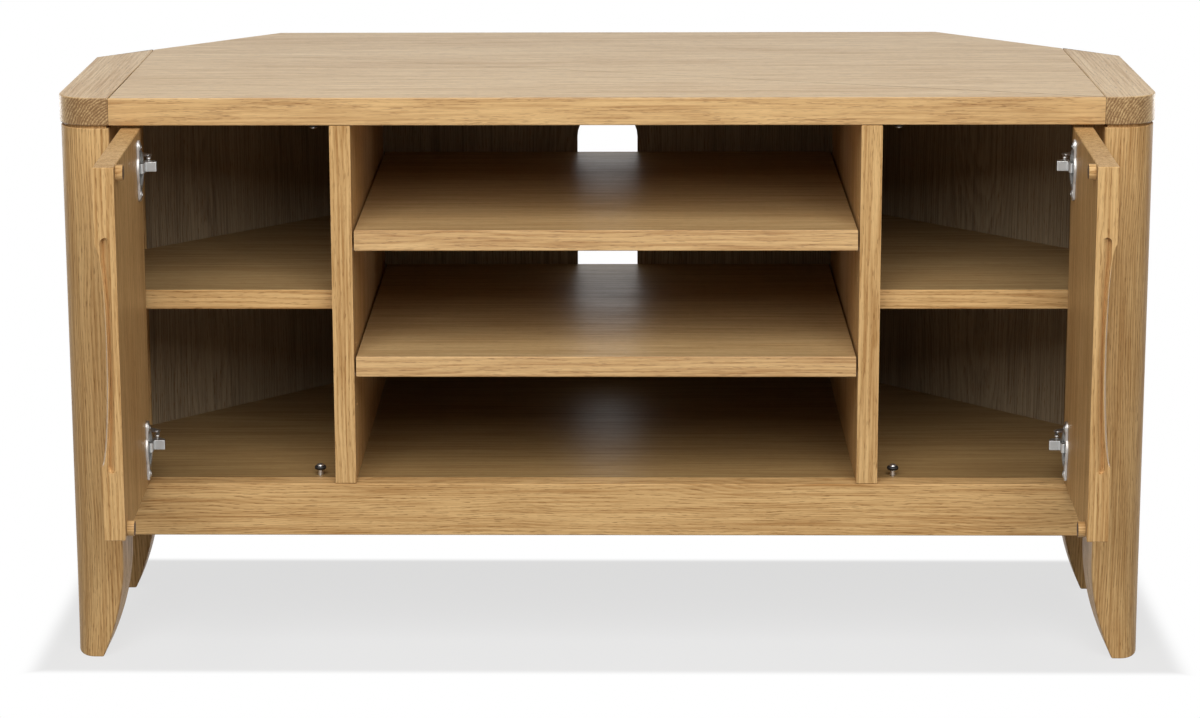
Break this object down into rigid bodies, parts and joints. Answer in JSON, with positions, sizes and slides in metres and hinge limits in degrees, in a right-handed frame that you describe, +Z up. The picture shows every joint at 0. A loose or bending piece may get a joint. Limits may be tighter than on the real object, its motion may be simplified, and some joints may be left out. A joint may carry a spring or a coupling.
{
  "type": "corner tv cabinet",
  "caption": "Low oak corner cabinet for a television, with a three-piece top cut back at the rear corners, an open shelved bay and a cupboard with an inset hinged door at each side.",
  "frame": {"origin": "centre of the foot of the bounding box, with both doors open as stored", "axes": "+X to the right along the front, +Y from the open doors towards the back, +Z up from the floor"},
  "size_m": [1.1, 0.657, 0.585],
  "materials": {
    "oak_board": "satin oiled oak",
    "oak_solid": "satin oiled solid oak",
    "oak_inside": "matt oak veneer",
    "bright_steel": "polished nickel plate",
    "rubber": "matt"
  },
  "bodies": {
    "cabinet": {"angled_back_left": "oak_inside", "angled_back_right": "oak_inside", "bottom_board": "oak_inside", "catch_post_left_lower": "bright_steel", "catch_post_left_upper": "bright_steel", "catch_post_right_lower": "bright_steel", "catch_post_right_upper": "bright_steel", "catch_ring_left_lower": "rubber", "catch_ring_left_upper": "rubber", "catch_ring_right_lower": "rubber", "catch_ring_right_upper": "rubber", "centre_back_panel": "oak_inside", "centre_shelf_lower": "oak_board", "centre_shelf_upper": "oak_board", "front_leg_left": "oak_solid", "front_leg_right": "oak_solid", "front_rail": "oak_solid", "hinge_arm_left_lower": "bright_steel", "hinge_arm_left_upper": "bright_steel", "hinge_arm_right_lower": "bright_steel", "hinge_arm_right_upper": "bright_steel", "hinge_plate_left_lower": "bright_steel", "hinge_plate_left_upper": "bright_steel", "hinge_plate_right_lower": "bright_steel", "hinge_plate_right_upper": "bright_steel", "lower_shelf_pin_left_front": "bright_steel", "lower_shelf_pin_left_rear": "bright_steel", "lower_shelf_pin_right_front": "bright_steel", "lower_shelf_pin_right_rear": "bright_steel", "partition_left": "oak_solid", "partition_right": "oak_solid", "rear_leg_left": "oak_solid", "rear_leg_right": "oak_solid", "side_panel_left": "oak_board", "side_panel_right": "oak_board", "side_shelf_left": "oak_board", "side_shelf_right": "oak_board", "top_board": "oak_board", "top_end_cap_left": "oak_solid", "top_end_cap_right": "oak_solid", "upper_shelf_pin_left_front": "bright_steel", "upper_shelf_pin_left_rear": "bright_steel", "upper_shelf_pin_right_front": "bright_steel", "upper_shelf_pin_right_rear": "bright_steel"},
    "door_left_body": {"door_left": "oak_board", "hinge_cup_left_lower": "bright_steel", "hinge_cup_left_upper": "bright_steel", "hinge_link_left_lower": "bright_steel", "hinge_link_left_upper": "bright_steel", "strike_peg_left_lower": "oak_solid", "strike_peg_left_upper": "oak_solid"},
    "door_right_body": {"door_right": "oak_board", "hinge_cup_right_lower": "bright_steel", "hinge_cup_right_upper": "bright_steel", "hinge_link_right_lower": "bright_steel", "hinge_link_right_upper": "bright_steel", "strike_peg_right_lower": "oak_solid", "strike_peg_right_upper": "oak_solid"}
  },
  "joints": [
    {"name": "left_door_hinge", "type": "hinge", "parent": "cabinet", "child": "door_left_body", "pos_m": [-0.4854, -0.1209, 0.3715], "axis": [0, 0, 1], "range_deg": [-7, 88.4]},
    {"name": "right_door_hinge", "type": "hinge", "parent": "cabinet", "child": "door_right_body", "pos_m": [0.4854, -0.1209, 0.3715], "axis": [0, 0, -1], "range_deg": [-7, 88.4]}
  ]
}
